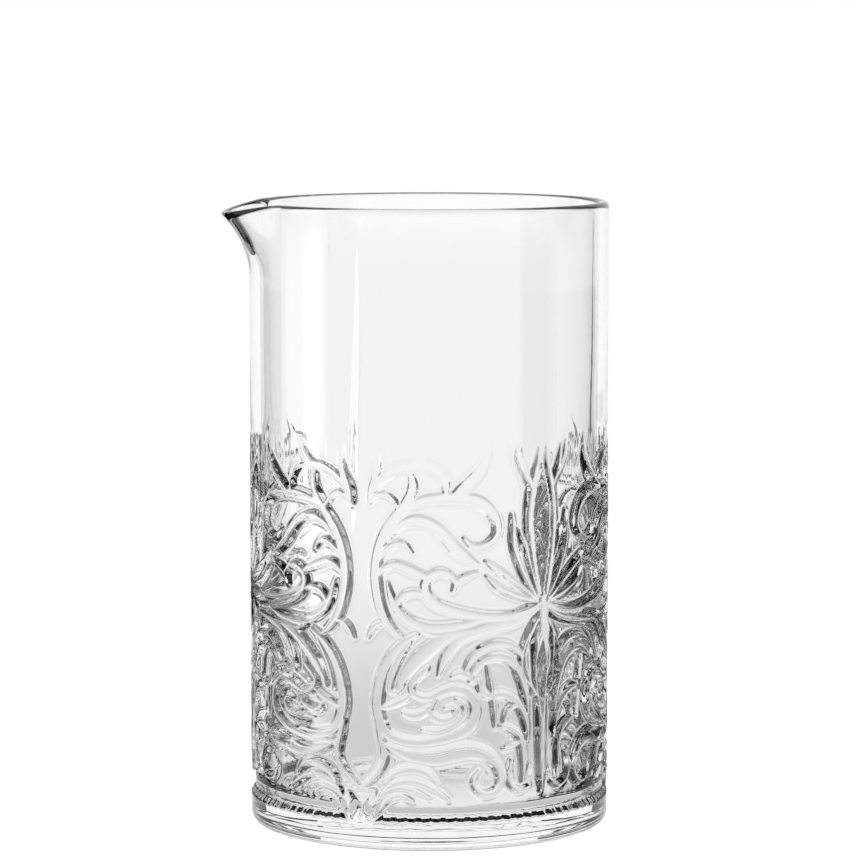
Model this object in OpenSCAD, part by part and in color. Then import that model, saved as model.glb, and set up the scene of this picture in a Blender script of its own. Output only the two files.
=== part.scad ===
// Bar mixing glass: a straight pressed-glass body with a pouring spout and a band of
// scrolls and palmettes in relief. It stands on z = 0 with its axis on the Z axis, and
// the spout points along -X. It is one casting, drawn as the regions named in NODES.

/* [Body] */
// Outer radius of the body
body_r = 44; // [40:0.5:50]
// Height from the resting face to the top of the rim
body_h = 153; // [140:1:180]
// Thickness of the wall at the mouth
wall_t = 2.5; // [2:0.1:3.2]
// Thickness of the wall at the floor, measured to the tops of the relief
low_wall_t = 4; // [3.4:0.1:5]

/* [Base] */
// Thickness of the glass floor
floor_t = 7.5; // [7.5:0.5:12]
// Radius between the floor and the inside of the wall
floor_fillet = 5.5; // [3:0.5:8]
// Radius of the outer heel
heel_r = 2; // [1:0.25:3]
// Radius of the shallow hollow underneath
punt_r = 35; // [28:0.5:36]
// Depth of the shallow hollow underneath
punt_depth = 1.2; // [0.6:0.2:2]

/* [Spout] */
// How far the tip of the spout stands out from the body
spout_reach = 7.8; // [4:0.2:10]
// How far the tip of the spout lies under the rim
spout_drop = 2.4; // [0:0.2:4]
// Height over which the spout flares out
spout_h = 18; // [14:1:24]
// Half of the angle of the rim that the spout takes, in degrees
spout_half = 26; // [20:1:32]

/* [Relief] */
// How far the ground lies under the tops of the relief
relief_depth = 1.2; // [0.6:0.1:1.5]
// Top of the plain band above the heel
band_top = 6.5; // [5.5:0.5:7]
// Height at which the ground starts to rise to the plain wall
fade_low = 86; // [80:1:90]
// Height at which the ground has reached the plain wall
fade_high = 104; // [98:1:110]
// Flat top of a relief line, as a share of its foot
crest_share = 0.4; // [0.2:0.05:0.7]
// Radius of the round-bottomed flute that runs up from the relief
flute_cut_r = 4; // [3:0.25:6]

/* [Hidden] */
fine = 180;
glass = [0.84, 0.89, 0.91, 0.4];
relief_glass = [0.66, 0.73, 0.78, 0.7];

// The relief repeats round the body, and each repeat has two mirrored halves.
repeats = 3;
sector = 360 / repeats;
half_panel = 46.08;
ground_r = body_r - relief_depth;
ground_low = band_top + 2.2;
inner_low_r = body_r - low_wall_t;
mouth_r = body_r - wall_t;
fillet_top = floor_t + floor_fillet;
taper_top = 100;
crest_lift = 0.03;

// The spout starts on a level line round the body, and the rim's top is a half round.
spout_foot = body_h - spout_h;
lip_r = wall_t / 2;
lip_z = body_h - lip_r;
spout_columns = 20;
wall_rows = 6;
lip_rows = 6;
flare_power = 1.7;

// Each flute starts a little under the ground and narrows to a tip just under the rim.
flute_h = body_h - 7 - fade_low;
flute_depth = relief_depth + 0.1;
flute_tip_depth = 0.06;
flute_lean = atan((flute_depth - flute_tip_depth) / flute_h);

// The relief lines, each a list of [arc, height, width] in millimetres. The arc runs
// round the body from the middle of a flute, and the next palmette is half_panel away.
UPPER_SCROLLS = [
    [[9.8, 52.3, 0.8], [5.6, 57.5, 2], [4.2, 65, 2.2], [5.3, 72.5, 2.2], [8.6, 79.4, 2.4],
     [12.4, 84.6, 2.5], [14, 91, 1.9], [17, 97.3, 0.5]],
    [[10.4, 82, 1.2], [15, 84.2, 2.6], [21, 85.2, 3], [27, 84.7, 3], [32, 81.6, 2.4],
     [34, 77.4, 2], [32, 73.8, 1.7], [28.4, 73, 1.5], [26, 74.8, 1]],
    [[22.5, 85, 1.5], [26.8, 88, 2.6], [30, 92, 2], [31, 97.5, 0.5]],
    [[2.4, 84.6, 1], [5.6, 89.6, 1.7], [11, 92, 2], [17, 91.2, 2.2], [20.4, 88.3, 2.2],
     [20.6, 85.2, 1.5]],
    [[2.2, 83.6, 1.4], [3.4, 88, 2.1], [4.7, 93, 1.3], [4.3, 97.5, 0.5]],
    [[2, 84, 1], [5, 86.4, 1.6], [8.4, 85, 1.5], [10, 82.4, 1]],
    [[8.2, 78, 1.2], [12, 80.1, 2.3], [17, 79, 2.4], [22, 74.4, 2.6], [26.6, 71, 1.8],
     [30, 69.3, 0.5]],
    [[5.2, 71, 1], [8.4, 74, 1.6], [12, 74, 1.1], [13, 71.8, 0.5]],
    [[4.6, 67.6, 1], [8, 69, 1.4], [15.8, 66.3, 1.4]],
    [[23.6, 63, 0.8], [22.4, 66.3, 1.6], [18.6, 67.3, 1.8], [16.1, 64.3, 2.1],
     [18.2, 60.2, 2.2], [25, 57.8, 2.2], [34, 56.5, 2.2], [45, 58.6, 1.6]],
    [[6.6, 63, 0.8], [8.9, 58.2, 1.9], [13.5, 54.7, 2.2], [20, 54, 2.4], [29, 55.6, 1.2]],
    [[9.8, 56.8, 1], [11, 61.8, 1.6], [15.6, 62.9, 1.2]],
];
LOWER_SCROLLS = [
    [[45, 57.4, 1.2], [38, 54.9, 2.2], [29, 53.2, 2.6], [23, 50.4, 2.5], [20, 46, 2],
     [19.2, 42.8, 0.8]],
    [[24, 53, 1], [18, 50.6, 3], [12.4, 45.8, 3.3], [9.4, 40.8, 2.2], [8.2, 37.6, 1]],
    [[12.5, 50.2, 0.8], [7.8, 45.6, 2.2], [5, 39.6, 2.6], [4.8, 33, 2.5], [8, 28.2, 2.4],
     [14, 27, 2.4], [21, 28.6, 2.7], [26.8, 31.8, 2.8], [27.6, 36.6, 2.8], [24, 39.4, 2.4],
     [18.6, 38.4, 1.8], [13.4, 38.8, 1.4], [13, 41.6, 1.6], [15.6, 44.2, 1.6]],
    [[6.6, 35.4, 1.2], [12.6, 38, 1.4]],
    [[11.6, 33.6, 1.8], [15, 34, 1.9], [18.6, 37, 1]],
    [[17, 34.5, 1.4], [19.4, 32.3, 1.8], [22.8, 33.2, 1.7], [23, 35.8, 1.2],
     [20.8, 35.6, 0.8]],
    [[6.6, 24.6, 1.2], [12, 22.8, 3], [20, 23.4, 3.6], [28, 24.6, 3.2], [33, 21.8, 2.6],
     [34.2, 17.2, 2.1], [31.4, 14.2, 1.7], [28.3, 16, 1.4], [29.6, 19.4, 0.8]],
    [[5, 31, 1], [6, 25.4, 1.8], [5, 20.4, 1.8], [1.4, 15.8, 1.4]],
];
STEM_LEAVES = [
    [[27.4, 41.6, 1], [29.6, 45.6, 1.7], [34, 46.6, 1.9], [38.4, 43.6, 2], [41, 38, 1.8],
     [42.4, 31, 1]],
    [[25.8, 43, 0.6], [29.4, 48, 1.6], [35.6, 49.2, 1.8], [41.2, 44.4, 1.2]],
    [[22.6, 42.2, 0.8], [27.6, 41.2, 1.4]],
    [[28.6, 41.6, 1], [31.4, 37.4, 1.7], [35.8, 37.3, 1.8], [40, 33.8, 1.7],
     [41.8, 28, 1]],
    [[31.4, 44, 0.6], [32.6, 37, 1.2], [33.4, 29.6, 0.5]],
    [[34.8, 30, 0.6], [38.8, 27.8, 1.7], [40.9, 23, 1.6], [41, 18, 1]],
    [[44.6, 54.5, 0.8], [41, 47.5, 1.6], [41.2, 41, 1.6], [44.4, 35.6, 1]],
];
STEMS = [
    [[half_panel, 57, 2.4], [half_panel, 50, 3.6], [half_panel, 36, 3], [half_panel, 22, 2.2],
     [half_panel, 13.5, 1]],
];
FOOT_LEAVES = [
    [[0.9, 7.4, 2.2], [3.6, 10.8, 2.2], [7.4, 13.4, 1.7], [11, 13.6, 1.3], [13, 12.4, 0.6]],
    [[4.4, 12.8, 1], [8.6, 15.4, 1.6], [14.4, 14.4, 1.2], [17, 13, 0.5]],
    [[5.6, 14.4, 0.8], [10.6, 17.1, 1.5], [17.8, 15.2, 1.1], [21.8, 12.6, 0.5]],
    [[6.6, 16.4, 1], [9.6, 19.2, 1.6], [15.6, 19, 1.6], [19.2, 16, 0.6]],
];
FOOT_LENSES = [
    [[0, 37, 1.4], [0, 31, 2.8], [0, 25, 3.4], [0, 19.5, 2.4], [0, 15, 1]],
];
PALMETTE_RIBS = [
    [[45.4, 95.8, 0.5], [44.4, 88.4, 1.8], [43.1, 79, 2], [43.8, 69, 1.8], [45.4, 60, 1.2]],
    [[38.2, 79, 0.5], [38.3, 73, 1.6], [41, 64.2, 1.6], [44.6, 59.8, 1.2]],
    [[31.2, 68.8, 0.6], [35.6, 65.8, 2], [44.4, 59.4, 1.3]],
    [[31, 65.6, 0.6], [36, 61.8, 1.4], [44.6, 59, 1]],
    [[39, 96.6, 0.5], [40.6, 91.4, 1.5], [43.2, 86.4, 1.4]],
];
PALMETTE_PETALS = [
    [[half_panel, 58, 2], [half_panel, 66, 2.2], [half_panel, 73, 3.4], [half_panel, 80, 3.8],
     [half_panel, 87, 2.2], [half_panel, 91.5, 0.6]],
];

// A point by its arc round the body, its height and its radius.
function on_body(arc, z, r) =
    let (angle = arc * sector / 2 / half_panel) [r * cos(angle), r * sin(angle), z];

// The radius of the ground between the relief lines.
function ground_at(z) =
    z < band_top ? body_r :
    z < ground_low ? body_r - relief_depth * (z - band_top) / (ground_low - band_top) :
    z < fade_low ? ground_r :
    z < fade_high ? ground_r + relief_depth * (z - fade_low) / (fade_high - fade_low) :
    body_r;

// The four corners of a relief line's section: two at its foot and two at its crest.
function section(line, i) =
    let (p = line[i], q = line[min(i + 1, len(line) - 1)] - line[max(i - 1, 0)],
         side = [-q[1], q[0]] * p[2] / 2 / norm([q[0], q[1]]), crest = side * crest_share)
    [on_body(p[0] + side[0], p[1] + side[1], ground_at(p[1] + side[1])),
     on_body(p[0] - side[0], p[1] - side[1], ground_at(p[1] - side[1])),
     on_body(p[0] + crest[0], p[1] + crest[1], body_r + crest_lift),
     on_body(p[0] - crest[0], p[1] - crest[1], body_r + crest_lift)];

module relief_line(line) {
    for (i = [0 : len(line) - 2])
        hull()
            polyhedron(concat(section(line, i), section(line, i + 1)),
                       [[0, 1, 3, 2], [4, 6, 7, 5], [0, 4, 5, 1], [2, 3, 7, 6],
                        [0, 2, 6, 4], [1, 5, 7, 3]]);
}

// Relief lines that lie on the middle of a flute or of a palmette.
module in_each_repeat(lines) {
    for (k = [0 : repeats - 1])
        rotate([0, 0, k * sector])
            for (line = lines) relief_line(line);
}

// Relief lines that are mirrored on the two sides of every flute.
module in_each_half(lines) {
    in_each_repeat(lines);
    mirror([0, 1, 0]) in_each_repeat(lines);
}

// The cut of the flutes: it leans out, so that each flute narrows towards its tip.
module flute_cut() {
    for (k = [0 : repeats - 1])
        rotate([0, 0, k * sector])
            translate([body_r + flute_cut_r - flute_depth, 0, fade_low])
                rotate([0, flute_lean, 0])
                    cylinder(r = flute_cut_r, h = flute_h, $fn = fine);
}

module base() {
    color(glass)
        rotate_extrude($fn = fine)
            difference() {
                union() {
                    square([body_r - heel_r, band_top]);
                    translate([0, heel_r]) square([body_r, band_top - heel_r]);
                    translate([body_r - heel_r, heel_r]) circle(heel_r, $fn = fine);
                    square([inner_low_r, floor_t]);
                }
                polygon([[-1, -1], [punt_r + 1, -1], [punt_r, 0], [punt_r - 2, punt_depth],
                         [-1, punt_depth]]);
                translate([-2, -2]) square([2, floor_t * 2]);
            }
}

module floor_fillet_ring() {
    color(glass)
        rotate_extrude($fn = fine)
            difference() {
                translate([inner_low_r - floor_fillet, floor_t]) square(floor_fillet);
                translate([inner_low_r - floor_fillet, fillet_top])
                    circle(floor_fillet, $fn = fine);
            }
}

module wall() {
    color(glass)
        difference() {
            rotate_extrude($fn = fine)
                polygon([[inner_low_r, band_top], [body_r, band_top], [ground_r, ground_low],
                         [ground_r, fade_low], [body_r, fade_high], [body_r, spout_foot],
                         [mouth_r, spout_foot], [mouth_r, taper_top],
                         [inner_low_r, fillet_top]]);
            flute_cut();
        }
}

module rim() {
    color(glass)
        difference() {
            rotate([0, 0, 180 + spout_half])
                rotate_extrude(angle = 360 - 2 * spout_half, $fn = fine)
                    union() {
                        translate([mouth_r, spout_foot]) square([wall_t, lip_z - spout_foot]);
                        translate([mouth_r + lip_r, lip_z]) circle(lip_r, $fn = fine);
                    }
            flute_cut();
        }
}

// The section of the wall at the rim, as [radius, height] round its outside.
RIM_SECTION = concat(
    [for (j = [0 : wall_rows - 1])
        [body_r, spout_foot + (lip_z - spout_foot) * j / wall_rows]],
    [for (j = [0 : lip_rows])
        [mouth_r + lip_r + lip_r * cos(180 * j / lip_rows),
         lip_z + lip_r * sin(180 * j / lip_rows)]],
    [for (j = [wall_rows - 1 : -1 : 0])
        [mouth_r, spout_foot + (lip_z - spout_foot) * j / wall_rows]]);

// A point of the spout: the rim's section, pushed out and down towards the middle.
function spout_point(p, turn) =
    let (share = pow(cos(90 * turn / spout_half), 2),
         up = (p[1] - spout_foot) / spout_h,
         r = p[0] + spout_reach * share * pow(up, flare_power))
    [r * cos(180 + turn), r * sin(180 + turn), p[1] - spout_drop * share * up * up];

module spout() {
    n = len(RIM_SECTION);
    points = [for (i = [0 : spout_columns], p = RIM_SECTION)
                 spout_point(p, spout_half * (2 * i / spout_columns - 1))];
    sides = [for (i = [0 : spout_columns - 1], j = [0 : n - 1], half = [0, 1])
                let (a = i * n + j, b = i * n + (j + 1) % n)
                half == 0 ? [a, b + n, b] : [a, a + n, b + n]];
    first_end = [for (j = [0 : n - 1]) j];
    last_end = [for (j = [n - 1 : -1 : 0]) spout_columns * n + j];
    color(glass) polyhedron(points, concat(sides, [first_end, last_end]));
}

module palmettes() {
    color(relief_glass) {
        in_each_half(PALMETTE_RIBS);
        in_each_repeat(PALMETTE_PETALS);
    }
}

module upper_scrolls() {
    color(relief_glass) in_each_half(UPPER_SCROLLS);
}

module lower_scrolls() {
    color(relief_glass) in_each_half(LOWER_SCROLLS);
}

module stem_leaves() {
    color(relief_glass) {
        in_each_half(STEM_LEAVES);
        in_each_repeat(STEMS);
    }
}

module foot_leaves() {
    color(relief_glass) {
        in_each_half(FOOT_LEAVES);
        in_each_repeat(FOOT_LENSES);
    }
}

base();
floor_fillet_ring();
wall();
rim();
spout();
palmettes();
upper_scrolls();
lower_scrolls();
stem_leaves();
foot_leaves();
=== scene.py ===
import math

import bpy
import numpy as np
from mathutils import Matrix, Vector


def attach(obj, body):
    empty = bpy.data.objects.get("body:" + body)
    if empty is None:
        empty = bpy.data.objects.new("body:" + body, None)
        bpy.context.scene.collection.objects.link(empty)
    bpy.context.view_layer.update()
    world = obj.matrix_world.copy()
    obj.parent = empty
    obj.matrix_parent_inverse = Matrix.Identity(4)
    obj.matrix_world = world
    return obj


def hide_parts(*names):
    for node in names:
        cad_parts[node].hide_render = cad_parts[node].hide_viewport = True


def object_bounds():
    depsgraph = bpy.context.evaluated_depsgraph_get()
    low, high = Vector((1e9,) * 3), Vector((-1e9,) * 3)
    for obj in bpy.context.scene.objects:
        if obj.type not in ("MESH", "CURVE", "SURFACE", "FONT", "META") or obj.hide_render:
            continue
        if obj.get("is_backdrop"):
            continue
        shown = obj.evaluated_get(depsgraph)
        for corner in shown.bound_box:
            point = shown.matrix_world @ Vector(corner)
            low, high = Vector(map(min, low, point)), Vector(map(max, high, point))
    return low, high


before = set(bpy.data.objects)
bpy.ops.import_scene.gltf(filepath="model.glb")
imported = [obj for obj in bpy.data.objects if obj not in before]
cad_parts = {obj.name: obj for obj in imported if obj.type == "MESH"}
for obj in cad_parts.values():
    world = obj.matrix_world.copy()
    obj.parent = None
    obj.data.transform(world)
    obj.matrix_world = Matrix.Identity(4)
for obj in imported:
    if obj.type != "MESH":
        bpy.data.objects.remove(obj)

low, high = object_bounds()

# The glass in millimetres. Its axis is Z, it stands on z = 0 and its spout is along -X.
MM = 0.001
BODY_R = high.y / MM
BODY_H = high.z / MM
SPOUT_TIP = -low.x / MM

REPEATS = 3
HALF_PANEL = math.pi * BODY_R / REPEATS
COLUMNS_PER_HALF = 160
COLUMNS = COLUMNS_PER_HALF * 2 * REPEATS

# Outside: heel, plain band, relief, plain wall, rim.
HEEL_R = 2.5
BAND_LOW = 3
BAND_TOP = 7.1
GROUND_LOW = 8.55
BAND_WAVE = 0.12
FADE_LOW = 84.0
FADE_HIGH = 99.0
GROUND_DEPTH = 1.1
CREST_LIFT = 0.06
RIM_R = 1.25
RIM_GAP = 0.3

# Distance between the rows of the surface.
BAND_STEP = 0.6
ROW_STEP = 0.3
PLAIN_STEP = 1.4
LIP_STEP = 0.8
INNER_LIP_STEP = 0.9
INNER_STEP = 2.0

# Inside: wall, fillet and floor.
MOUTH_R = BODY_R - 2.5
INNER_LOW_R = BODY_R - 4.0
TAPER_TOP = 112.0
WAVE_TOP = 110.0
WAVE_FADE = 30.0
WAVE_SIZE = 0.06
WAVE_SEED = 5
FLOOR_T = 7.5
FILLET_R = 5.5
# Unevenness of the fillet: how fine it is, its seed and its size.
FILLET_WAVES = [(1, 11, 0.14), (4, 3, 0.04), (11, 8, 0.02)]
FLOOR_ROWS = [(30, 0.05), (20, 0.12), (10, 0.16)]
FLOOR_DIP = 0.18
WALL_R = 30.0

# Underside rows, each a radius and a height.
PUNT_R = 35.0
PUNT_DEPTH = 1.2
PUNT_ROWS = [(12, PUNT_DEPTH), (24, PUNT_DEPTH), (28, 1.15), (30, 1.0), (32, 0.7), (33.5, 0.35),
             (PUNT_R, 0.08), (PUNT_R + 1.5, 0), (39, 0)]

# Spout.
SPOUT_H = 18.0
SPOUT_HALF = math.radians(27)
SPOUT_DROP = 2.4
FLARE_POWER = 1.75
SPOUT_REACH = (SPOUT_TIP - BODY_R) * 1.06

# Tapered flute on the middle line of each panel.
FLUTE_LOW = 62.0
FLUTE_RISE = 36.0
FLUTE_WIDEST = 95.0
FLUTE_TIP = 150.0
FLUTE_HALF = 2.8
FLUTE_THIN = 0.9
FLUTE_DEPTH = 1.0
FLUTE_POWER = 0.8

# Shape of a relief line: soft edge, crowned top, a shallow groove beside it.
EDGE_W = 0.85
CROWN = 0.5
WIDEN = 1.15
WIDEN_BY = 0.5
GROOVE_W = 0.3
GROOVE_DEPTH = 0.28
CUT_DEPTH = 2.0
FULL_CUT = 1.3
PETAL_SLOPE = 0.42
PETAL_STEEP = 0.16
PETAL_LEAST = 0.02
NARROW = 0.05
CURVE_STEPS = 6

# Relief lines [arc, height, width] from the middle of a flute; the palmette's axis is at 46.
RIBBONS = {
    "upper": [
        [(10.6, 51.6, 0.6), (8.2, 53.4, 1.6), (5.8, 56.8, 2.2), (4.5, 61, 2.4), (3.9, 66, 2.4),
         (4.4, 71, 2.4), (5.8, 75.5, 2.4), (8.2, 79.4, 2.4), (10.8, 82.6, 2.4), (12.5, 85.5, 2.2),
         (13, 88.2, 1.9), (12.4, 91, 0.9)],
        [(8.6, 80.4, 1.4), (11.6, 82.6, 2.2), (15.5, 84, 2.4), (20, 84.6, 2.6), (24.5, 84.6, 2.8),
         (28.6, 83.8, 2.8), (31.6, 81.8, 2.6), (33.4, 79, 2.2), (33.6, 76.2, 1.9), (32, 74.2, 1.7),
         (29.6, 73.1, 1.6), (27.2, 73.4, 1.4), (25.4, 75.2, 0.6)],
        [(11.2, 91, 1), (13.4, 92.2, 1.8), (15.4, 94.2, 1.9), (16.6, 96.2, 1.2), (17.3, 98, 0.3)],
        [(22.6, 85.2, 1.6), (25.6, 87.2, 2.8), (28.2, 89.6, 2.8), (30.2, 92.4, 2.2), (31.2, 95.4, 1.4),
         (31.4, 98.2, 0.3)],
        [(2.2, 84.6, 0.9), (4, 87.4, 1.6), (6.6, 89.8, 1.9), (10, 91.6, 1.9), (13.4, 92.2, 1.8),
         (16.6, 92, 2), (19.2, 90.6, 2), (20.8, 88.2, 1.9), (20.8, 85.6, 1)],
        [(2.2, 83.2, 0.8), (2.8, 86.4, 1.8), (4, 89.6, 1.7), (4.7, 93, 1.3), (4.2, 97.6, 0.3)],
        [(2.2, 83.4, 0.8), (4, 85.1, 1.5), (6.2, 85.4, 1.6), (8.2, 84.2, 1.4), (9.8, 82, 1)],
        [(7.2, 74.8, 0.6), (9, 77.6, 1.6), (12, 79.3, 2.1), (15.2, 79.4, 2.2), (18.2, 78, 2.3),
         (20.6, 75.8, 2.5), (23, 73, 2.6), (25.8, 70.8, 2), (29, 68.8, 0.4)],
        [(4.8, 70.2, 0.8), (6.6, 72.4, 1.5), (8.8, 73.8, 1.6), (11, 73.8, 1.2), (12.8, 71.8, 0.4)],
        [(4.4, 66.2, 0.8), (6.4, 68.2, 1.5), (8.8, 69, 1.7), (12, 67.9, 2), (15.8, 66.4, 1.6)],
        [(22.6, 62.6, 0.7), (23.2, 64.6, 1.4), (21.8, 66.6, 1.6), (19.4, 67.3, 1.7), (17, 66.2, 1.9),
         (15.9, 64, 2), (16.6, 61.6, 2.1), (18.8, 59.6, 2.2), (22.4, 58.2, 2.2), (27, 57, 2.2),
         (32, 56.2, 2.2), (38, 56.2, 2), (42.4, 57.4, 1.8), (45.4, 58.8, 1.4)],
        [(28.6, 67, 0.4), (26, 66.2, 1.3), (23.6, 64.8, 1.4), (22.8, 62.8, 0.8)],
        [(6.8, 64.6, 0.5), (7.8, 61, 1.6), (9.6, 57.8, 1.9), (12.6, 55.4, 2.2), (17, 54, 2.4),
         (22, 54.1, 2.3), (27, 55, 1.8), (31, 56, 0.8)],
        [(9, 57.6, 0.7), (9.6, 60.2, 1.4), (11.4, 62, 1.7), (14.2, 62.4, 1.5), (16.4, 61.6, 0.8)],
        [(15.2, 53.2, 0.5), (18.4, 52.2, 1.3), (22, 52.8, 0.4)],
        [(1.8, 51, 0.4), (2.8, 53, 1.3), (4.4, 54.6, 1.3), (6.8, 55.4, 0.5)],
    ],
    "lower": [
        [(45.2, 57.8, 1), (42, 55.9, 2), (38, 54.6, 2.4), (33, 53.8, 2.6), (28.4, 52.8, 2.6),
         (24.6, 51.2, 2.4), (22, 48.6, 2.2), (20.2, 45.6, 1.8), (19.1, 42.4, 0.5)],
        [(28.4, 53.4, 1), (23, 52.4, 2.4), (18.6, 50.2, 3), (15.2, 47.4, 3.2), (12.4, 44.2, 2.8),
         (10.2, 41, 2), (9, 38, 0.6)],
        [(14.2, 52.4, 0.8), (10.8, 50.4, 1.8), (7.9, 47.2, 2.3), (5.9, 43.4, 2.5), (4.8, 39.4, 2.6),
         (4.4, 35.2, 2.6), (5.2, 31.2, 2.4), (7.2, 28.2, 2.2), (10.6, 26.9, 2.2), (14.4, 26.5, 2.2),
         (18.6, 27.1, 2.4), (22.6, 28.2, 2.8), (26.2, 30, 2.9), (28, 32.8, 2.8), (27.8, 36, 2.6),
         (25.8, 38.4, 2.4), (22.6, 39.2, 2.2), (19.6, 38.3, 1.9), (17, 37.2, 1.6), (14.2, 37.6, 1.5),
         (12.6, 39.2, 1.5), (13.4, 41.4, 1.6), (15.8, 43.6, 1.7), (16.6, 44.6, 0.8)],
        [(15.4, 29.6, 0.6), (19, 29.2, 1.5), (22.6, 30.6, 1.7), (25.2, 33, 1.6), (25.4, 35.4, 1.2),
         (23.6, 36.8, 0.6)],
        [(12.4, 50.6, 0.7), (10, 47, 1.5), (8.3, 43, 1.6), (7.4, 39.2, 1.4), (8.8, 38.4, 1.1),
         (10.8, 40.2, 0.5)],
        [(6, 34.6, 1), (8.6, 35.6, 1.5), (11.4, 37, 1.5), (13.2, 38.6, 0.7)],
        [(10.8, 33.6, 1.2), (12.6, 32.9, 1.8), (15, 33.3, 1.9), (17, 34.8, 1.5), (18.4, 36.8, 0.7)],
        [(16.6, 35.2, 0.8), (17.6, 33, 1.7), (19.8, 31.8, 1.8), (22.2, 32.2, 1.7), (23.4, 33.8, 1.4),
         (22.4, 35.2, 1), (20.8, 34.8, 0.5)],
        [(6.4, 25.8, 0.6), (9.6, 24.6, 2.2), (13.6, 23.4, 3.2), (18.4, 23.2, 3.8), (23.2, 24, 3.8),
         (27.6, 24.2, 3.4), (31.2, 23, 2.9), (33.8, 20.4, 2.4), (34.8, 17.2, 2.1), (33.4, 14.6, 1.8),
         (30.8, 13.8, 1.6), (28.6, 15, 1.5), (27.8, 17.2, 1.3), (29.2, 19.4, 0.6)],
        [(4.2, 31, 0.7), (5, 28, 1.5), (5.9, 25, 1.8), (5.9, 22, 1.8), (4.4, 19, 1.7), (2.2, 16.6, 1.5),
         (0.4, 15.2, 1.2)],
    ],
    "stem": [
        [(26.8, 40.8, 0.7), (27.6, 43.2, 1.5), (29.6, 45.4, 1.8), (32.8, 46.5, 1.9), (36, 46, 2),
         (38.6, 43.8, 2), (40.2, 40.6, 1.9), (41.4, 36.6, 1.6), (42, 32.6, 0.8)],
        [(25.2, 42.8, 0.5), (27, 46.2, 1.5), (30, 48.6, 1.8), (33.6, 49.6, 1.8), (37.2, 49, 1.7),
         (40, 46.8, 1.5), (41.6, 44.2, 0.6)],
        [(22.4, 42.2, 0.6), (24.4, 42.9, 1.5), (26.6, 42, 1.5), (28, 40.6, 0.7)],
        [(28.8, 41, 0.8), (29.6, 38.6, 1.6), (31.8, 37.2, 1.7), (35, 37.3, 1.8), (38.2, 35.8, 1.9),
         (40.4, 33, 1.8), (41.6, 29.6, 1.4), (42, 26, 0.5)],
        [(31.2, 44.4, 0.5), (32, 40.6, 1.1), (32.5, 37, 1.3), (33, 33, 1), (33.2, 29.6, 0.3)],
        [(35.4, 30.8, 0.6), (36.4, 33.4, 1.3), (38.2, 34.6, 1.2), (40, 34, 0.5)],
        [(34.6, 30, 0.5), (37, 29.2, 1.5), (39.4, 27.4, 1.8), (40.4, 24.6, 1.8), (40.8, 21, 1.5),
         (40.6, 16, 0.6)],
        [(35.4, 24.4, 0.5), (37.6, 25.2, 1.3), (39.6, 25.6, 1)],
        [(44.6, 55, 0.7), (42.6, 51.6, 1.5), (41, 47.4, 1.7), (40.9, 43.4, 1.7), (42.2, 39.8, 1.6),
         (44.2, 36.8, 0.9)],
        [(46.1, 58, 3.2), (46.1, 52, 4.6), (46.1, 46, 4), (46.1, 38, 3), (46.1, 28, 2.4), (46.1, 18, 1.8),
         (46.1, 13, 0.5)],
        [(37.6, 21.8, 0.5), (36.6, 18.4, 1.4), (37.6, 15.4, 1.5), (40, 14, 1.3), (42.6, 14.8, 0.6)],
    ],
    "foot": [
        [(0.2, 6.9, 1.8), (1.6, 9.4, 2.4), (3, 12, 2.3), (3.6, 14.6, 0.9)],
        [(2.6, 7.2, 0.8), (4.6, 10.4, 1.7), (7, 12.8, 1.7), (10, 13.7, 1.4), (13, 12.4, 0.4)],
        [(4.2, 12.2, 0.8), (6.6, 14.5, 1.5), (10, 15.5, 1.6), (13.6, 14.8, 1.3), (17, 13, 0.4)],
        [(5.4, 14.2, 0.7), (8.4, 16.5, 1.5), (12.4, 17.2, 1.6), (17, 15.9, 1.4), (21.8, 12.6, 0.4)],
        [(6.4, 16.2, 0.8), (8.2, 18.6, 1.6), (11, 19.8, 2), (14, 19.9, 2), (16.8, 18.8, 1.6),
         (19.2, 16.2, 0.5)],
        [(0, 14.7, 0.8), (3.4, 14.7, 0.6)],
    ],
    "palmette": [
        [(45, 96, 0.3), (44.6, 92.6, 1.2), (43.6, 88.6, 1.9), (42.8, 84, 2.1), (42.4, 78.6, 2.2),
         (42.9, 73, 2.1), (43.9, 67, 1.8), (45, 61.4, 1.2)],
        [(37.6, 80.4, 0.3), (37.8, 77, 1.3), (38, 73.2, 1.6), (39.4, 69, 1.7), (41.6, 64.4, 1.6),
         (44.6, 60, 1)],
        [(39.4, 76.8, 0.3), (40.8, 73.4, 1.5), (41.8, 68.8, 1.7), (43.6, 63.6, 1.4), (45.2, 60.2, 1)],
        [(30.8, 69.6, 0.4), (33.4, 67.6, 1.7), (36.6, 65.2, 1.9), (40.4, 62.2, 1.8), (44.4, 59.6, 1.2)],
        [(31, 66, 0.4), (34, 63.2, 1.4), (37.6, 61.4, 1.5), (41.2, 60.1, 1.3), (44.6, 59.1, 1)],
        [(38.6, 97, 0.3), (39, 94, 1.3), (40.4, 91, 1.7), (42, 88.4, 1.6), (43.2, 85.6, 0.9)],
        [(46.1, 61.6, 1.6), (46.1, 58.6, 3.2), (46.1, 56, 2.4)],
        [(52, 96.4, 0.3), (51.6, 92.8, 1.3), (50.6, 89.4, 1.4), (49.4, 86.6, 0.7)],
    ],
}

# Mitre cuts [arc, height, width]: leaf shapes that are cut down from the crest.
CUTS = [
    [(44.4, 60.4, 0.3), (42.6, 65, 1.5), (41, 70, 2), (39.4, 75.8, 0.3)],
    [(43, 60, 0.3), (39.6, 62.2, 1.4), (35.6, 65, 1.5), (32, 67.8, 0.3)],
    [(42.6, 51.6, 0.3), (41.4, 48, 1.4), (41.2, 44, 2.2), (42, 40.6, 1.6), (44, 38.6, 0.3)],
    [(41.8, 37.6, 0.3), (43, 35.6, 1.6), (43.4, 32, 1.4), (44, 27.6, 0.3)],
]

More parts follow.
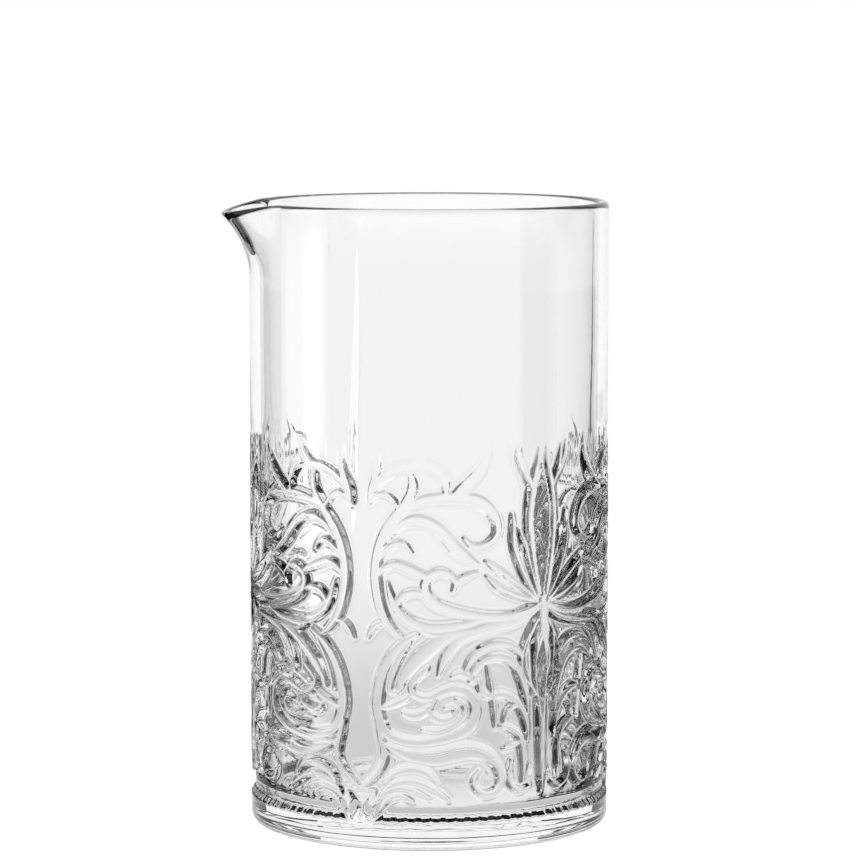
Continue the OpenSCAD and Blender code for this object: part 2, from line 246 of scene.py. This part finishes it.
# The palmette's middle petals: one face slopes across nearly the whole width, the other is steep.
PETALS = [
    [(46.1, 60.6, 0.6), (46.1, 66, 2.6), (46.1, 72, 4.2), (46.1, 79, 5.2), (46.1, 85, 4),
     (46.1, 92.4, 0.3)],
    [(46.1, 50, 0.4), (46.1, 46, 2.8), (46.1, 42, 3.6), (46.1, 37, 2.4), (46.1, 31, 0.4)],
]


def smooth(x):
    x = np.clip(x, 0, 1)
    return x * x * (3 - 2 * x)


def curve(points):
    """The points of a smooth curve that passes through each of the given ones."""
    p = np.array(points, float)
    last = len(p) - 1
    out = []
    for i in range(last):
        a, b, c, d = p[max(i - 1, 0)], p[i], p[i + 1], p[min(i + 2, last)]
        for s in range(CURVE_STEPS):
            t = s / CURVE_STEPS
            out.append(0.5 * (2 * b + (c - a) * t + (2 * a - 5 * b + 4 * c - d) * t * t
                              + (3 * b - a - 3 * c + d) * t ** 3))
    out.append(p[-1])
    return np.array(out)


def nearest(line, arc, z):
    """Distance from each point of the grid to the line, and half the line's width there."""
    far = 1e9
    excess = np.full(arc.shape, far)
    dist = np.full(arc.shape, far)
    half = np.full(arc.shape, 1.0)
    for p, q in zip(line[:-1], line[1:]):
        d = q[:2] - p[:2]
        size = d @ d
        if size < 1e-9:
            continue
        t = np.clip(((arc - p[0]) * d[0] + (z - p[1]) * d[1]) / size, 0, 1)
        w = (p[2] + (q[2] - p[2]) * t) / 2
        r = np.hypot(arc - p[0] - t * d[0], z - p[1] - t * d[1])
        near = r - w < excess
        excess = np.where(near, r - w, excess)
        half = np.where(near, w, half)
        dist = np.where(near, r, dist)
    return dist, half


def relief(arc, z):
    """Over half a panel: the share of the ground's depth that the relief fills, how deep the mitre
    cuts go, and the grooves beside the lines."""
    fill = np.zeros(arc.shape)
    groove = np.zeros(arc.shape)
    for group in RIBBONS.values():
        for points in group:
            line = curve(points)
            for side in (arc, 2 * HALF_PANEL - arc, -arc):
                dist, half = nearest(line, side, z)
                half = half * WIDEN + WIDEN_BY / 2
                edge = smooth((half - dist) / np.minimum(EDGE_W, half))
                crown = np.clip(1 - (dist / np.maximum(half, NARROW)) ** 2, 0, 1)
                fill = np.maximum(fill, (1 - CROWN) * edge + CROWN * crown)
                groove = np.maximum(groove, np.exp(-((dist - half - GROOVE_W) / GROOVE_W) ** 2))
    cut = np.zeros(arc.shape)
    for points in CUTS:
        line = curve(points)
        for side in (arc, 2 * HALF_PANEL - arc):
            dist, half = nearest(line, side, z)
            across = dist / np.maximum(half, NARROW)
            cut = np.maximum(cut, np.clip(1 - across, 0, 1) * np.minimum(1, half / FULL_CUT))
    return fill, cut, groove * (1 - fill)


def petal_depth(z):
    """Depth of the palmettes' middle petals, right round the body."""
    arc = np.arange(2 * COLUMNS_PER_HALF) * HALF_PANEL / COLUMNS_PER_HALF
    out = np.zeros((len(z), len(arc)))
    for points in PETALS:
        line = curve(points)
        order = np.argsort(line[:, 1])
        half = np.interp(z, line[order, 1], line[order, 2], left=0, right=0)[:, None] / 2
        across = np.clip((arc[None] - points[0][0] + half) / np.maximum(2 * half, NARROW), 0, 1)
        face = np.where(across < PETAL_STEEP, across / PETAL_STEEP, (1 - across) / (1 - PETAL_STEEP))
        out = np.maximum(out, face * 2 * half * PETAL_SLOPE)
    return np.tile(out, (1, REPEATS))


def ground(z):
    """Depth of the relief's ground below the plain wall."""
    rise = np.clip((z - BAND_TOP) / (GROUND_LOW - BAND_TOP), 0, 1)
    return GROUND_DEPTH * rise * (1 - smooth((z - FADE_LOW) / (FADE_HIGH - FADE_LOW)))


def flute(arc, z):
    """Depth of the tapered flute on the middle line of a panel."""
    up = np.clip((FLUTE_TIP - z) / (FLUTE_TIP - FLUTE_WIDEST), 0, 1)
    inside = np.clip(1 - (arc / np.maximum(FLUTE_HALF * up, FLUTE_THIN)) ** 2, 0, 1)
    start = smooth((z - FLUTE_LOW) / FLUTE_RISE)
    return FLUTE_DEPTH * up ** FLUTE_POWER * inside * start


def mirrored(rows):
    """Repeats the columns of half a panel round the body."""
    half = rows[:, :-1]
    panel = np.concatenate([half, rows[:, :0:-1]], axis=1)
    return np.tile(panel, (1, REPEATS))


def wobble(theta, z, seed, size, waves=9):
    """A slow, smooth unevenness of a pressed surface."""
    rng = np.random.default_rng(seed)
    out = np.zeros(np.broadcast(theta, z).shape)
    for _ in range(waves):
        k = rng.integers(2, 15)
        m = rng.uniform(0.05, 0.35)
        out += np.sin(k * theta + m * z + rng.uniform(0, 2 * math.pi))
    return out * size / math.sqrt(waves)


def spout_push(theta, z):
    """How far a point of the wall is pushed out and down by the spout."""
    turn = np.abs((theta % (2 * math.pi)) - math.pi)
    bell = np.cos(math.pi / 2 * np.clip(turn / SPOUT_HALF, 0, 1)) ** 2
    share = np.where(turn < SPOUT_HALF, bell, 0)
    up = np.clip((z - (BODY_H - SPOUT_H)) / SPOUT_H, 0, 1)
    return SPOUT_REACH * share * up ** FLARE_POWER, SPOUT_DROP * share * up ** 2


THETA = np.arange(COLUMNS) * 2 * math.pi / COLUMNS
ARC_HALF = np.linspace(0, HALF_PANEL, COLUMNS_PER_HALF + 1)
rows_r, rows_z = [], []


def add_rows(radius, z):
    """Adds rows to the surface: a radius or a height may be one number or one for each column."""
    for r, h in zip(radius, z):
        rows_r.append(np.broadcast_to(np.asarray(r, float), (COLUMNS,)))
        rows_z.append(np.broadcast_to(np.asarray(h, float), (COLUMNS,)))


# Underside and heel.
add_rows(*zip(*PUNT_ROWS))
add_rows([BODY_R - HEEL_R], [0])
turn = np.radians(np.arange(15, 91, 15))
add_rows(BODY_R - HEEL_R + HEEL_R * np.sin(turn), HEEL_R - HEEL_R * np.cos(turn))

# Outer wall: the relief's rows are close together.
z_band = np.arange(BAND_LOW, BAND_TOP - 0.4, BAND_STEP)
add_rows([BODY_R] * len(z_band), z_band)
z_relief = np.arange(BAND_TOP - ROW_STEP, FADE_HIGH + 3, ROW_STEP)
zz, aa = np.meshgrid(z_relief, ARC_HALF, indexing="ij")
fill, cut, groove = relief(aa, zz)
band_wave = np.sin(2.1 * aa) + .7 * np.sin(5.3 * aa + 1)
depth = ground(zz + BAND_WAVE * band_wave)
outer = (BODY_R - depth * (1 + GROOVE_DEPTH * groove) + (depth + CREST_LIFT) * fill
         - flute(aa, zz) * (1 - fill))
outer = np.where(cut > 0, np.minimum(outer, BODY_R + CREST_LIFT - CUT_DEPTH * cut), outer)
petal = petal_depth(z_relief)
outer = np.where(petal > PETAL_LEAST, BODY_R + CREST_LIFT - petal, mirrored(outer))
add_rows(outer, z_relief)
z_plain = np.concatenate([np.arange(z_relief[-1] + 1, BODY_H - SPOUT_H, PLAIN_STEP),
                          np.arange(BODY_H - SPOUT_H, BODY_H - RIM_R - RIM_GAP, LIP_STEP)])
zz, aa = np.meshgrid(z_plain, ARC_HALF, indexing="ij")
add_rows(BODY_R - mirrored(flute(aa, zz)), z_plain)

# Rim.
turn = np.radians(np.arange(0, 181, 15))
add_rows(BODY_R - RIM_R + RIM_R * np.cos(turn), BODY_H - RIM_R + RIM_R * np.sin(turn))

# Inner wall, fillet and floor.
z_in = np.concatenate([np.arange(BODY_H - RIM_R - LIP_STEP, BODY_H - SPOUT_H, -INNER_LIP_STEP),
                       np.arange(BODY_H - SPOUT_H, FLOOR_T + FILLET_R + .5, -INNER_STEP)])
share = np.clip((z_in - FLOOR_T) / (TAPER_TOP - FLOOR_T), 0, 1)
inner = INNER_LOW_R + (MOUTH_R - INNER_LOW_R) * share
lower_share = smooth((WAVE_TOP - z_in) / WAVE_FADE)[:, None]
waves = lower_share * wobble(THETA[None], z_in[:, None], WAVE_SEED, WAVE_SIZE, 7)
add_rows(inner[:, None] + waves, z_in)
flat = np.zeros(COLUMNS)
fillet_wave = sum(wobble(k * THETA, flat, seed, size) for k, seed, size in FILLET_WAVES)
for t in np.radians(np.arange(8, 91, 9)):
    r = INNER_LOW_R - FILLET_R + FILLET_R * math.cos(t)
    h = FLOOR_T + FILLET_R - FILLET_R * math.sin(t)
    add_rows([r + fillet_wave * math.sin(2 * t)], [h])
add_rows([r for r, dip in FLOOR_ROWS], [FLOOR_T - dip for r, dip in FLOOR_ROWS])

radius = np.array(rows_r)
height = np.array(rows_z)
push, drop = spout_push(THETA[None], height)
wall_like = radius > WALL_R
radius = radius + np.where(wall_like, push, 0)
height = height - np.where(wall_like, drop, 0)
verts = np.stack([radius * np.cos(THETA) * MM, radius * np.sin(THETA) * MM, height * MM], axis=-1)
centres = [[0, 0, PUNT_DEPTH * MM], [0, 0, (FLOOR_T - FLOOR_DIP) * MM]]
verts = np.concatenate([verts.reshape(-1, 3), centres])

cols = np.arange(COLUMNS)
nxt = (cols + 1) % COLUMNS
row0 = np.arange(len(radius) - 1)[:, None] * COLUMNS
row1 = row0 + COLUMNS
quads = np.stack([row0 + cols, row0 + nxt, row1 + nxt, row1 + cols], axis=-1).reshape(-1, 4)
top0 = (len(radius) - 1) * COLUMNS
under, over = np.full(COLUMNS, len(verts) - 2), np.full(COLUMNS, len(verts) - 1)
caps = np.concatenate([np.stack([under, nxt, cols], axis=-1),
                       np.stack([over, top0 + cols, top0 + nxt], axis=-1)])

mesh = bpy.data.meshes.new("mixing_glass")
loops = np.concatenate([quads.ravel(), caps.ravel()]).astype(np.int32)
starts = np.concatenate([np.arange(len(quads)) * 4, len(quads) * 4 + np.arange(len(caps)) * 3])
mesh.vertices.add(len(verts))
mesh.vertices.foreach_set("co", verts.ravel().astype(np.float32))
mesh.loops.add(len(loops))
mesh.loops.foreach_set("vertex_index", loops)
mesh.polygons.add(len(starts))
mesh.polygons.foreach_set("loop_start", starts.astype(np.int32))
mesh.update(calc_edges=True)
mesh.validate()
mesh.polygons.foreach_set("use_smooth", np.ones(len(mesh.polygons), dtype=bool))
glass_body = bpy.data.objects.new("mixing_glass", mesh)
bpy.context.scene.collection.objects.link(glass_body)


def new_material(name):
    mat = bpy.data.materials.new(name)
    mat.use_nodes = True
    return mat, mat.node_tree.nodes, mat.node_tree.links


def glass_material():
    """Clear glass with a faint film and a faint unevenness."""
    mat, nodes, links = new_material("clear_glass")
    shader = nodes["Principled BSDF"]
    shader.inputs["Transmission Weight"].default_value = 1.0
    shader.inputs["IOR"].default_value = 1.52
    shader.inputs["Base Color"].default_value = (0.99, 0.99, 0.99, 1)
    coords = nodes.new("ShaderNodeTexCoord")

    def noise(scale, detail):
        node = nodes.new("ShaderNodeTexNoise")
        node.inputs["Scale"].default_value = scale
        node.inputs["Detail"].default_value = detail
        links.new(coords.outputs["Object"], node.inputs["Vector"])
        return node.outputs["Fac"]

    rough = nodes.new("ShaderNodeMapRange")
    for key, value in (("From Min", 0.45), ("From Max", 0.8), ("To Min", 0.0), ("To Max", 0.015)):
        rough.inputs[key].default_value = value
    links.new(noise(60, 3), rough.inputs["Value"])
    links.new(rough.outputs["Result"], shader.inputs["Roughness"])
    bump = nodes.new("ShaderNodeBump")
    bump.inputs["Strength"].default_value = 0.03
    bump.inputs["Distance"].default_value = 0.0004
    links.new(noise(120, 2), bump.inputs["Height"])
    links.new(bump.outputs["Normal"], shader.inputs["Normal"])
    return mat


mesh.materials.append(glass_material())
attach(glass_body, "root")
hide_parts("base", "floor_fillet_ring", "wall", "rim", "spout", "palmettes",
            "upper_scrolls", "lower_scrolls", "stem_leaves", "foot_leaves")

# Studio, in metres. Angles are measured from the way that the camera looks.
scene = bpy.context.scene
scene.view_settings.view_transform = "Standard"
AZIMUTH = math.radians(-8)
FORWARD = math.pi / 2 + AZIMUTH
FLOOR_DISC_R = 0.31
GLOW_Z = -0.0005
SCREEN_R = 0.32
SCREEN_LOW = -0.05
SCREEN_H = 0.5
PANEL = math.radians(50)
PANEL_LOW = math.radians(22)
PANEL_STEP = 0.055
FLAG_STEP = 0.112
FLAG = math.radians(78)
FLAG_RIGHT = math.radians(122)
STRIP_START = math.radians(61)
STRIP_END = math.radians(66)
CARD_R = 0.0365
CARD_HALF = math.radians(66)
CARD_LOW = 0.0085
CARD_TOP = 0.15
GLOW_FAR = (0.06, 0.12, 0, 1)
STRIP_LOW = 0.16
STRIP_TOP = 0.42

# The card's ranges: from, to, value at the start and value at the end.
# The card's glow is painted light: the first range paints shade towards the floor, the second a painted
# highlight at its left.
CARD_LOW_SHADE = (0.014, 0.062, 0.66, 0.9)
CARD_LEFT_HIGHLIGHT = (0.0255, 0.0295, 1, 1.25)
CARD_TOP_FADE = (0.134, 0.150, 1, 0)
CARD_SIDE_FADE = (0.0295, 0.0330, 1, 0)
WHITE = (1, 1, 1, 1)

# Stops [place, grey]. Those of the floor go by the distance from the axis.
# The floor's stops paint a contact shadow: its glow is dimmed under and just round the base.
CONTACT_SHADOW_STOPS = [(0, .2), (.0400, .2), (.0425, .75), (.0440, 1), (1, 1)]
# The hidden floor_glow's greys are painted light and shade: a painted shadow under the base, painted shade
# in a ring further out and in front of the flags.
UNDER_BASE_SHADOW_STOPS = [(0, .9), (.031, .9), (.034, .55), (.042, .55), (.047, .95), (1, .95)]
AWAY_SHADE_STOPS = [(0, 1), (.075, .95), (.11, .5), (.16, .22), (.22, .3), (.28, 1)]
FLAG_SECTOR_SHADE_STOPS = [(0, 1), (PANEL_LOW / math.pi, 1), ((PANEL_LOW + .05) / math.pi, .08),
                (FLAG / math.pi, .08), ((FLAG + .1) / math.pi, .6), (1, .6)]


def emission(name, strength):
    """A material that only glows."""
    mat, nodes, links = new_material(name)
    nodes.clear()
    out = nodes.new("ShaderNodeOutputMaterial")
    glow = nodes.new("ShaderNodeEmission")
    glow.inputs["Color"].default_value = WHITE
    glow.inputs["Strength"].default_value = strength
    links.new(glow.outputs[0], out.inputs["Surface"])
    return mat, glow, out


def stage_mesh(name, verts, faces, mat):
    m = bpy.data.meshes.new(name)
    m.from_pydata(verts, [], faces)
    m.materials.append(mat)
    o = bpy.data.objects.new(name, m)
    scene.collection.objects.link(o)
    o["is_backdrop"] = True
    return o


def arc_screen(name, radius, start, end, z0, z1, mat, steps=40):
    """A standing curved screen round the glass, not seen by the camera itself."""
    v, f = [], []
    for k in range(steps + 1):
        a = FORWARD + start + (end - start) * k / steps
        x, y = radius * math.cos(a), radius * math.sin(a)
        v += [(x, y, z0), (x, y, z1)]
        if k:
            f.append((2 * k - 2, 2 * k, 2 * k + 1, 2 * k - 1))
    stage_mesh(name, v, f, mat).visible_camera = False


def disc(name, radius, z, mat, steps=128):
    turns = [2 * math.pi * k / steps for k in range(steps)]
    v = [(radius * math.cos(a), radius * math.sin(a), z) for a in turns]
    return stage_mesh(name, v, [tuple(range(steps))], mat)


def ramp(nodes, links, source, stops):
    """Greys by the value of the source."""
    node = nodes.new("ShaderNodeValToRGB")
    found = node.color_ramp.elements
    while len(found) < len(stops):
        found.new(1.0)
    for stop, (place, grey) in zip(found, stops):
        stop.position = place
        stop.color = (grey, grey, grey, 1)
    links.new(source, node.inputs["Fac"])
    return node.outputs["Color"]


def ranged(nodes, links, source, low, high, start, end, soft=False):
    """The source's range from low to high, made into the range from start to end."""
    node = nodes.new("ShaderNodeMapRange")
    if soft:
        node.interpolation_type = "SMOOTHSTEP"
    for key, v in (("From Min", low), ("From Max", high), ("To Min", start), ("To Max", end)):
        node.inputs[key].default_value = v
    links.new(source, node.inputs["Value"])
    return node.outputs["Result"]


def maths(nodes, links, kind, a, b=None):
    """A sum on one or two inputs, each a socket or a number."""
    node = nodes.new("ShaderNodeMath")
    node.operation = kind
    for k, value in enumerate((a, b)):
        if isinstance(value, (int, float)):
            node.inputs[k].default_value = value
        elif value is not None:
            links.new(value, node.inputs[k])
    return node.outputs[0]


def mixed(nodes, links, kind, factor, a, b):
    """Two colours mixed by a socket or a number."""
    node = nodes.new("ShaderNodeMix")
    node.data_type = "RGBA"
    node.blend_type = kind
    if isinstance(factor, (int, float)):
        node.inputs["Factor"].default_value = factor
    else:
        links.new(factor, node.inputs["Factor"])
    links.new(a, node.inputs["A"])
    links.new(b, node.inputs["B"])
    return node.outputs["Result"]


def distance(nodes, links):
    """Distance from the axis."""
    coords = nodes.new("ShaderNodeTexCoord")
    length = nodes.new("ShaderNodeVectorMath")
    length.operation = "LENGTH"
    links.new(coords.outputs["Object"], length.inputs[0])
    return length.outputs["Value"]


def turned_parts(nodes, links):
    """Coordinates with X along the way that the camera looks."""
    coords = nodes.new("ShaderNodeTexCoord")
    turned = nodes.new("ShaderNodeMapping")
    turned.inputs["Rotation"].default_value = (0, 0, -FORWARD)
    links.new(coords.outputs["Object"], turned.inputs["Vector"])
    parts = nodes.new("ShaderNodeSeparateXYZ")
    links.new(turned.outputs["Vector"], parts.inputs[0])
    return parts.outputs


def floor_material():
    """Pale floor that glows, with a soft contact shadow painted into its glow."""
    mat, nodes, links = new_material("floor")
    shader = nodes["Principled BSDF"]
    shader.inputs["Base Color"].default_value = (0.8, 0.8, 0.8, 1)
    shader.inputs["Roughness"].default_value = 0.6
    shader.inputs["Specular IOR Level"].default_value = 0.0
    shader.inputs["Emission Color"].default_value = WHITE
    # Painted contact shadow: the glow falls off towards the base.
    links.new(ramp(nodes, links, distance(nodes, links), CONTACT_SHADOW_STOPS), shader.inputs["Emission Strength"])
    return mat


def glow_material():
    """The light that the glass gets from below, painted on a hidden glowing disc under the floor: white
    towards the panel, a painted shadow under the base, and painted shade towards the flags and in a ring
    further out."""
    mat, glow, _ = emission("floor_glow", 1.0)
    nodes, links = mat.node_tree.nodes, mat.node_tree.links
    parts = turned_parts(nodes, links)
    aside = maths(nodes, links, "ABSOLUTE", parts["Y"])
    turn = maths(nodes, links, "ARCTAN2", aside, parts["X"])
    # Painted shade towards the dark flags.
    sector = ramp(nodes, links, maths(nodes, links, "DIVIDE", turn, math.pi), FLAG_SECTOR_SHADE_STOPS)
    length = distance(nodes, links)
    away = mixed(nodes, links, "MULTIPLY", 1, sector, ramp(nodes, links, length, AWAY_SHADE_STOPS))
    # Painted shadow under the base.
    under = ramp(nodes, links, length, UNDER_BASE_SHADOW_STOPS)
    colour = mixed(nodes, links, "MIX", ranged(nodes, links, length, *GLOW_FAR), under, away)
    links.new(colour, glow.inputs["Color"])
    return mat


def painted_light_card_material():
    """A hidden glowing card inside the glass, painted light for the bright ground seen through the front
    wall: white on the side that faces the camera, greyer near the floor by painted shade, brighter at its
    left by a painted highlight, soft at its edges, and clear from behind."""
    mat, glow, out = emission("card", 1.0)
    nodes, links = mat.node_tree.nodes, mat.node_tree.links
    parts = turned_parts(nodes, links)
    # Painted shade: the card's glow is dimmer near the floor; painted highlight: it is brighter at its
    # left.
    painted_low_shade = ranged(nodes, links, parts["Z"], *CARD_LOW_SHADE, soft=True)
    left = ranged(nodes, links, parts["Y"], *CARD_LEFT_HIGHLIGHT, soft=True)
    links.new(maths(nodes, links, "MULTIPLY", painted_low_shade, left), glow.inputs["Strength"])
    aside = maths(nodes, links, "ABSOLUTE", parts["Y"])
    top = ranged(nodes, links, parts["Z"], *CARD_TOP_FADE, soft=True)
    edge = ranged(nodes, links, aside, *CARD_SIDE_FADE, soft=True)
    back = nodes.new("ShaderNodeNewGeometry").outputs["Backfacing"]
    front = maths(nodes, links, "SUBTRACT", 1, back)
    alpha = maths(nodes, links, "MULTIPLY", maths(nodes, links, "MULTIPLY", top, edge), front)
    clear = nodes.new("ShaderNodeBsdfTransparent")
    mix = nodes.new("ShaderNodeMixShader")
    links.new(alpha, mix.inputs["Fac"])
    links.new(clear.outputs[0], mix.inputs[1])
    links.new(glow.outputs[0], mix.inputs[2])
    links.new(mix.outputs[0], out.inputs["Surface"])
    return mat


white = emission("screen_white", 1.0)[0]
dark = emission("screen_dark", 0.01)[0]
dim = emission("screen_dim", 0.25)[0]
room = emission("screen_room", 0.9)[0]
floor = disc("floor", FLOOR_DISC_R, 0, floor_material())
floor.visible_transmission = False
floor.visible_glossy = False
disc("floor_glow", FLOOR_DISC_R, GLOW_Z, glow_material()).visible_camera = False
arc_screen("panel_low", SCREEN_R, -PANEL_LOW, PANEL_LOW, SCREEN_LOW, PANEL_STEP, white)
arc_screen("panel_high", SCREEN_R, -PANEL, PANEL, PANEL_STEP, SCREEN_H, white)
for name, side, reach in (("left", 1, FLAG), ("right", -1, FLAG_RIGHT)):
    end = side * reach
    arc_screen("flag_low_" + name, SCREEN_R, side * PANEL_LOW, end, SCREEN_LOW, PANEL_STEP, dark)
    arc_screen("flag_mid_" + name, SCREEN_R, side * PANEL, end, PANEL_STEP, FLAG_STEP, dark)
    arc_screen("flag_high_" + name, SCREEN_R, side * PANEL, end, FLAG_STEP, SCREEN_H, dim)
arc_screen("room", SCREEN_R, FLAG, 2 * math.pi - FLAG_RIGHT, SCREEN_LOW, SCREEN_H, room, 80)
strip_light = emission("strip_light", 2.6)[0]
arc_screen("strip", SCREEN_R - 0.01, STRIP_START, STRIP_END, STRIP_LOW, STRIP_TOP, strip_light, 6)
# A hidden glowing card inside the glass: painted light for the bright ground seen through the front wall.
arc_screen("card", CARD_R, CARD_HALF, -CARD_HALF, CARD_LOW, CARD_TOP, painted_light_card_material(), 30)
disc("ceiling", SCREEN_R, SCREEN_H, emission("ceiling_dark", 0.08)[0]).visible_camera = False

world = bpy.data.worlds.new("studio")
scene.world = world
world.use_nodes = True
background = world.node_tree.nodes["Background"]
background.inputs["Color"].default_value = WHITE
background.inputs["Strength"].default_value = 1.0

# Camera.
DISTANCE = 1.013
CAM_Z = 0.2028
PITCH = math.radians(6.01)
cam_data = bpy.data.cameras.new("camera")
cam = bpy.data.objects.new("camera", cam_data)
scene.collection.objects.link(cam)
cam.location = (DISTANCE * math.sin(AZIMUTH), -DISTANCE * math.cos(AZIMUTH), CAM_Z)
cam.rotation_euler = (math.pi / 2 - PITCH, 0, AZIMUTH)
cam_data.lens = 172.7
cam_data.shift_x = 0.0027
cam_data.sensor_width = 36
cam_data.clip_start = 0.01
cam_data.clip_end = 20
scene.camera = cam

low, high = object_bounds()
